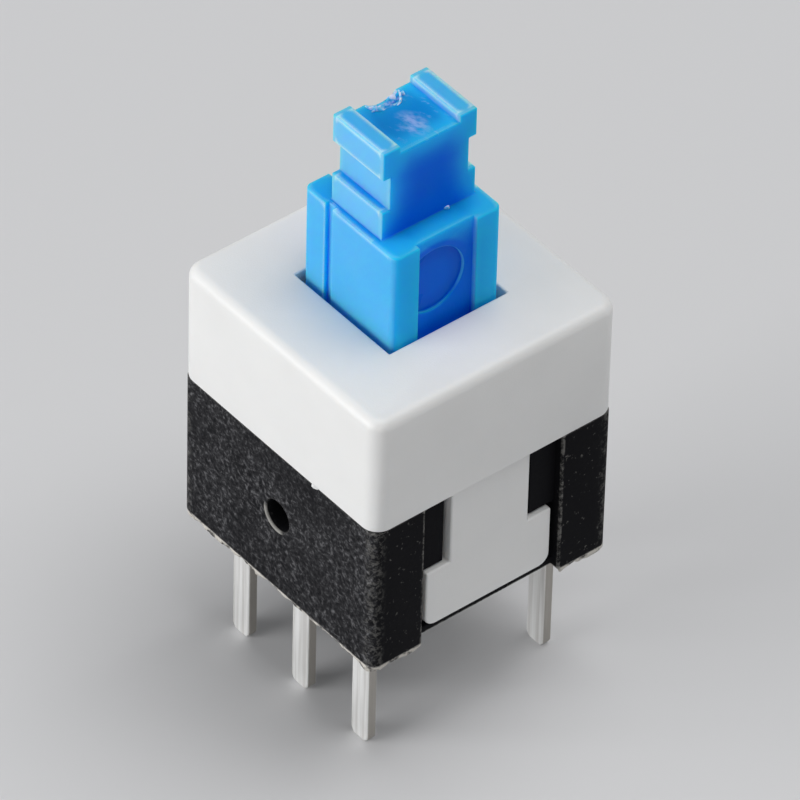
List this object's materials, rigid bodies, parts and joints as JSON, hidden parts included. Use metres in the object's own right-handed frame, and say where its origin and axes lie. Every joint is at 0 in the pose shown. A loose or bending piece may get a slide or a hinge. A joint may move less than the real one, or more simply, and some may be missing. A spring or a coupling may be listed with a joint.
{
  "type": "push button switch",
  "caption": "Square latching push button switch for a circuit board, with a notched cap stem in a clip-on cover and two rows of flat pins under a moulded base.",
  "frame": {"origin": "midway between the two pin rows, at the level of the pin tips", "axes": "+Z along the plunger away from the pins, +X along a pin row, +Y from one row to the other"},
  "size_m": [0.008, 0.008, 0.0182],
  "materials": {
    "cover_plastic": "satin moulded white",
    "base_plastic": "black moulded with pale fibre specks",
    "plunger_plastic": "satin moulded azure",
    "spring_steel": "drawn wire",
    "contact_bronze": "stamped sheet",
    "tinned_terminal": "tin plated, lightly scratched"
  },
  "bodies": {
    "housing": {"top_cover": "cover_plastic", "base": "base_plastic", "return_spring": "spring_steel", "common_terminal_left": "tinned_terminal", "common_terminal_right": "tinned_terminal", "upper_terminal_left": "tinned_terminal", "upper_terminal_right": "tinned_terminal", "lower_terminal_left": "tinned_terminal", "lower_terminal_right": "tinned_terminal"},
    "plunger": {"plunger": "plunger_plastic", "contact_clip_left": "contact_bronze", "contact_clip_right": "contact_bronze"},
    "latch": {"latch_pin": "spring_steel"}
  },
  "joints": [
    {"name": "plunger_slide", "type": "slide", "parent": "housing", "child": "plunger", "axis": [0, 0, -1], "range_m": [0, 0.0022], "stiffness_N_per_m": 800, "deforming": ["return_spring"]},
    {"name": "latch_swing", "type": "hinge", "parent": "housing", "child": "latch", "pos_m": [-0.0027, 0, 0.0054], "axis": [-1, 0, 0], "range_deg": [0, 11.6]}
  ],
  "couplings": [
    {"joint": "latch_swing", "follows": "plunger_slide", "rad_per_m": 91.53}
  ]
}
